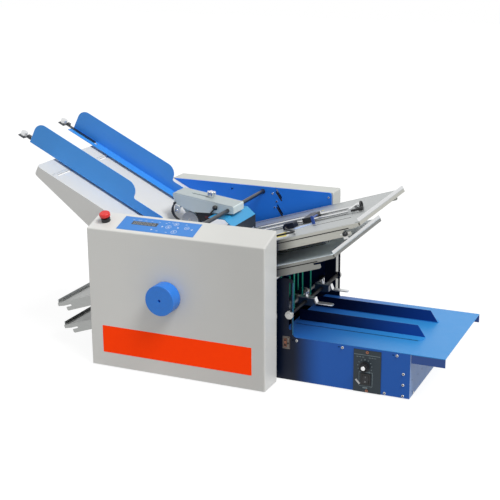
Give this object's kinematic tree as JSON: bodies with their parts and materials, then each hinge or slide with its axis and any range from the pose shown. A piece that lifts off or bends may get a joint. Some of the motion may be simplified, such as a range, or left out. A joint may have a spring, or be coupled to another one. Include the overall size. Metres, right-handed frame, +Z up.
{
  "type": "paper folding machine",
  "caption": "Free-standing desk paper folder with a sloping feed table, four fold plates, a delivery table, a handwheel, a stop button and a control panel.",
  "frame": {"origin": "middle of the machine's bounding box, at the bottom of its feet", "axes": "+X from the feed table towards the delivery table, +Y away from the operator, +Z up"},
  "size_m": [1.233, 0.5902, 0.6025],
  "materials": {
    "cover_paint": "satin warm light grey",
    "table_paint": "satin light grey",
    "blue_paint": "satin mid blue",
    "light_blue_paint": "satin light blue",
    "blue_plastic": "glossy blue",
    "overlay": "matt blue overlay with a black display window",
    "dark_plate": "satin dark grey",
    "dark_plastic": "matt black",
    "red_plastic": "glossy red",
    "grey_plastic": "satin grey",
    "brushed": "brushed",
    "plate_metal": "brushed sheet",
    "dark_steel": "dark oiled",
    "bright_metal": "bright",
    "roller_rubber": "matt black, ground",
    "belt_rubber": "matt green",
    "foot_rubber": "matt black",
    "separator_rubber": "matt grey",
    "cable_sheath": "satin dark"
  },
  "bodies": {
    "machine": {"base_chassis": "blue_paint", "base_feet": "foot_rubber", "base_screws": "bright_metal", "control_plate": "dark_plate", "power_inlet": "dark_plastic", "delivery_table": "light_blue_paint", "frame_front": "blue_paint", "frame_rear": "blue_paint", "cross_rods": "dark_steel", "front_cover": "cover_paint", "rear_cover": "cover_paint", "control_panel": "overlay", "feed_table": "table_paint", "transfer_cover": "light_blue_paint", "fold_plate_1": "plate_metal", "fold_plate_2": "plate_metal", "fold_plate_3": "plate_metal", "fold_plate_4": "plate_metal", "sensor_connector": "dark_plastic", "sensor_cable": "cable_sheath", "exit_belts": "belt_rubber", "drive_motor": "dark_steel"},
    "hand_drive": {"handwheel": "blue_plastic", "drive_shaft": "brushed"},
    "roller_1": {"fold_roller_1": "roller_rubber"},
    "roller_2": {"fold_roller_2": "roller_rubber"},
    "roller_3": {"fold_roller_3": "roller_rubber"},
    "roller_4": {"fold_roller_4": "roller_rubber"},
    "roller_5": {"fold_roller_5": "roller_rubber"},
    "roller_6": {"fold_roller_6": "roller_rubber"},
    "feed_drive": {"feed_roller": "roller_rubber"},
    "belt_drive_lower": {"belt_shaft_lower": "brushed"},
    "belt_drive_upper": {"belt_shaft_upper": "brushed"},
    "guide_front": {"feed_guide_front": "blue_paint"},
    "arm_front": {"extension_arm_front": "dark_steel"},
    "arm_thumb_knob_front": {"arm_knob_front": "bright_metal"},
    "guide_rear": {"feed_guide_rear": "blue_paint"},
    "arm_rear": {"extension_arm_rear": "dark_steel"},
    "arm_thumb_knob_rear": {"arm_knob_rear": "bright_metal"},
    "head": {"feed_head": "grey_plastic", "separator_wheel": "separator_rubber", "retainer_strap": "dark_plastic"},
    "head_star_knob": {"head_knob": "bright_metal"},
    "plate_stop_1": {"fold_stop_1": "brushed"},
    "plate_stop_2": {"fold_stop_2": "brushed"},
    "plate_stop_3": {"fold_stop_3": "brushed"},
    "plate_stop_4": {"fold_stop_4": "brushed"},
    "fine_adjuster": {"fine_knob_1": "dark_plastic"},
    "stop_push": {"stop_button": "red_plastic"},
    "dial": {"speed_dial": "dark_plastic"},
    "rocker": {"power_switch": "dark_plastic"},
    "sheet_guide_front": {"delivery_guide_front": "blue_paint"},
    "sheet_guide_rear": {"delivery_guide_rear": "blue_paint"},
    "exit_carrier": {"exit_bar": "dark_steel"},
    "deflector_front": {"exit_arm_front": "brushed"},
    "wing_front": {"wing_knob_front": "bright_metal"},
    "height_nut_front": {"thumb_nut_front": "bright_metal"},
    "deflector_rear": {"exit_arm_rear": "brushed"},
    "wing_rear": {"wing_knob_rear": "bright_metal"},
    "height_nut_rear": {"thumb_nut_rear": "bright_metal"}
  },
  "joints": [
    {"name": "handwheel_turn", "type": "hinge", "parent": "machine", "child": "hand_drive", "pos_m": [-0.08568, 0.0205, 0.2215], "axis": [0, 1, 0], "continuous": true},
    {"name": "fold_roller_1_turn", "type": "hinge", "parent": "machine", "child": "roller_1", "pos_m": [-0.06957, 0.0205, 0.30864], "axis": [0, 1, 0], "continuous": true},
    {"name": "fold_roller_2_turn", "type": "hinge", "parent": "machine", "child": "roller_2", "pos_m": [-0.05978, 0.0205, 0.27796], "axis": [0, 1, 0], "continuous": true},
    {"name": "fold_roller_3_turn", "type": "hinge", "parent": "machine", "child": "roller_3", "pos_m": [-0.0493, 0.0205, 0.24752], "axis": [0, 1, 0], "continuous": true},
    {"name": "fold_roller_4_turn", "type": "hinge", "parent": "machine", "child": "roller_4", "pos_m": [-0.03951, 0.0205, 0.21684], "axis": [0, 1, 0], "continuous": true},
    {"name": "fold_roller_5_turn", "type": "hinge", "parent": "machine", "child": "roller_5", "pos_m": [-0.02903, 0.0205, 0.1864], "axis": [0, 1, 0], "continuous": true},
    {"name": "fold_roller_6_turn", "type": "hinge", "parent": "machine", "child": "roller_6", "pos_m": [-0.02903, 0.0205, 0.15419], "axis": [0, 1, 0], "continuous": true},
    {"name": "feed_roller_turn", "type": "hinge", "parent": "machine", "child": "feed_drive", "pos_m": [-0.16599, 0.0205, 0.30284], "axis": [0, 1, 0], "continuous": true},
    {"name": "belt_shaft_lower_turn", "type": "hinge", "parent": "machine", "child": "belt_drive_lower", "pos_m": [0.15932, 0.0205, 0.156], "axis": [0, 1, 0], "continuous": true},
    {"name": "belt_shaft_upper_turn", "type": "hinge", "parent": "machine", "child": "belt_drive_upper", "pos_m": [0.15932, 0.0205, 0.262], "axis": [0, 1, 0], "continuous": true},
    {"name": "feed_guide_front_slide", "type": "slide", "parent": "machine", "child": "guide_front", "axis": [0, 1, 0], "range_m": [-0.074, 0.048]},
    {"name": "extension_arm_front_slide", "type": "slide", "parent": "guide_front", "child": "arm_front", "axis": [0.8949, 0, -0.4462], "range_m": [-0.058, 0.01]},
    {"name": "arm_knob_front_turn", "type": "hinge", "parent": "arm_front", "child": "arm_thumb_knob_front", "pos_m": [-0.60882, -0.0875, 0.56552], "axis": [0.4462, 0, 0.8949], "range_deg": [0, 360]},
    {"name": "feed_guide_rear_slide", "type": "slide", "parent": "machine", "child": "guide_rear", "axis": [0, 1, 0], "range_m": [-0.048, 0.074]},
    {"name": "extension_arm_rear_slide", "type": "slide", "parent": "guide_rear", "child": "arm_rear", "axis": [0.8949, 0, -0.4462], "range_m": [-0.058, 0.01]},
    {"name": "arm_knob_rear_turn", "type": "hinge", "parent": "arm_rear", "child": "arm_thumb_knob_rear", "pos_m": [-0.60882, 0.1135, 0.56552], "axis": [0.4462, 0, 0.8949], "range_deg": [0, 360]},
    {"name": "feed_head_lift", "type": "hinge", "parent": "machine", "child": "head", "pos_m": [-0.02468, 0.0205, 0.394], "axis": [0, 1, 0], "range_deg": [0, 22]},
    {"name": "head_knob_turn", "type": "hinge", "parent": "head", "child": "head_star_knob", "pos_m": [-0.08868, 0.0205, 0.41718], "axis": [0.1288, 0, 0.9917], "range_deg": [0, 360]},
    {"name": "fold_stop_1_slide", "type": "slide", "parent": "machine", "child": "plate_stop_1", "axis": [0.9527, 0, 0.304], "range_m": [-0.17446, 0.10417]},
    {"name": "fold_stop_2_slide", "type": "slide", "parent": "machine", "child": "plate_stop_2", "axis": [0.9527, 0, 0.304], "range_m": [-0.08002, 0.1112]},
    {"name": "fold_stop_3_slide", "type": "slide", "parent": "machine", "child": "plate_stop_3", "axis": [-0.9455, 0, -0.3256], "range_m": [-0.12147, 0.11547]},
    {"name": "fold_stop_4_slide", "type": "slide", "parent": "machine", "child": "plate_stop_4", "axis": [-0.9455, 0, -0.3256], "range_m": [-0.1232, 0.1172]},
    {"name": "fine_knob_turn", "type": "hinge", "parent": "machine", "child": "fine_adjuster", "pos_m": [0.3905, -0.0065, 0.44985], "axis": [0.9527, 0, 0.304], "continuous": true},
    {"name": "stop_button_press", "type": "slide", "parent": "machine", "child": "stop_push", "axis": [0, 0.3207, -0.9472], "range_m": [0, 0.005], "stiffness_N_per_m": 500, "springref_m": -0.003},
    {"name": "speed_dial_turn", "type": "hinge", "parent": "machine", "child": "dial", "pos_m": [0.41402, -0.1556, 0.0727], "axis": [0, 1, 0], "range_deg": [-140, 140]},
    {"name": "power_switch_rock", "type": "hinge", "parent": "machine", "child": "rocker", "pos_m": [0.41672, -0.1571, 0.0396], "axis": [1, 0, 0], "range_deg": [0, 16]},
    {"name": "delivery_guide_front_slide", "type": "slide", "parent": "machine", "child": "sheet_guide_front", "axis": [0, 1, 0], "range_m": [-0.06, 0.04]},
    {"name": "delivery_guide_rear_slide", "type": "slide", "parent": "machine", "child": "sheet_guide_rear", "axis": [0, 1, 0], "range_m": [-0.04, 0.06]},
    {"name": "exit_bar_height", "type": "slide", "parent": "machine", "child": "exit_carrier", "axis": [0, 0, 1], "range_m": [-0.014, 0.078]},
    {"name": "exit_arm_front_slide", "type": "slide", "parent": "exit_carrier", "child": "deflector_front", "axis": [0, 1, 0], "range_m": [-0.09, 0.04]},
    {"name": "wing_knob_front_turn", "type": "hinge", "parent": "deflector_front", "child": "wing_front", "pos_m": [0.21272, -0.0395, 0.182], "axis": [0, 0, 1], "range_deg": [0, 360]},
    {"name": "thumb_nut_front_turn", "type": "hinge", "parent": "exit_carrier", "child": "height_nut_front", "pos_m": [0.21272, -0.1556, 0.182], "axis": [0, 1, 0], "range_deg": [0, 360]},
    {"name": "exit_arm_rear_slide", "type": "slide", "parent": "exit_carrier", "child": "deflector_rear", "axis": [0, 1, 0], "range_m": [-0.04, 0.09]},
    {"name": "wing_knob_rear_turn", "type": "hinge", "parent": "deflector_rear", "child": "wing_rear", "pos_m": [0.21272, 0.0805, 0.182], "axis": [0, 0, 1], "range_deg": [0, 360]},
    {"name": "thumb_nut_rear_turn", "type": "hinge", "parent": "exit_carrier", "child": "height_nut_rear", "pos_m": [0.21272, 0.1966, 0.182], "axis": [0, 1, 0], "range_deg": [0, 360]}
  ],
  "couplings": [
    {"joint": "fold_roller_1_turn", "follows": "handwheel_turn", "ratio": 1.8821},
    {"joint": "fold_roller_2_turn", "follows": "handwheel_turn", "ratio": -1.8821},
    {"joint": "fold_roller_3_turn", "follows": "handwheel_turn", "ratio": 1.8821},
    {"joint": "fold_roller_4_turn", "follows": "handwheel_turn", "ratio": -1.8821},
    {"joint": "fold_roller_5_turn", "follows": "handwheel_turn", "ratio": 1.8821},
    {"joint": "fold_roller_6_turn", "follows": "handwheel_turn", "ratio": -1.8821},
    {"joint": "feed_roller_turn", "follows": "handwheel_turn", "ratio": -0.37649},
    {"joint": "belt_shaft_lower_turn", "follows": "handwheel_turn", "ratio": -1.6353},
    {"joint": "belt_shaft_upper_turn", "follows": "handwheel_turn", "ratio": -1.6353}
  ]
}
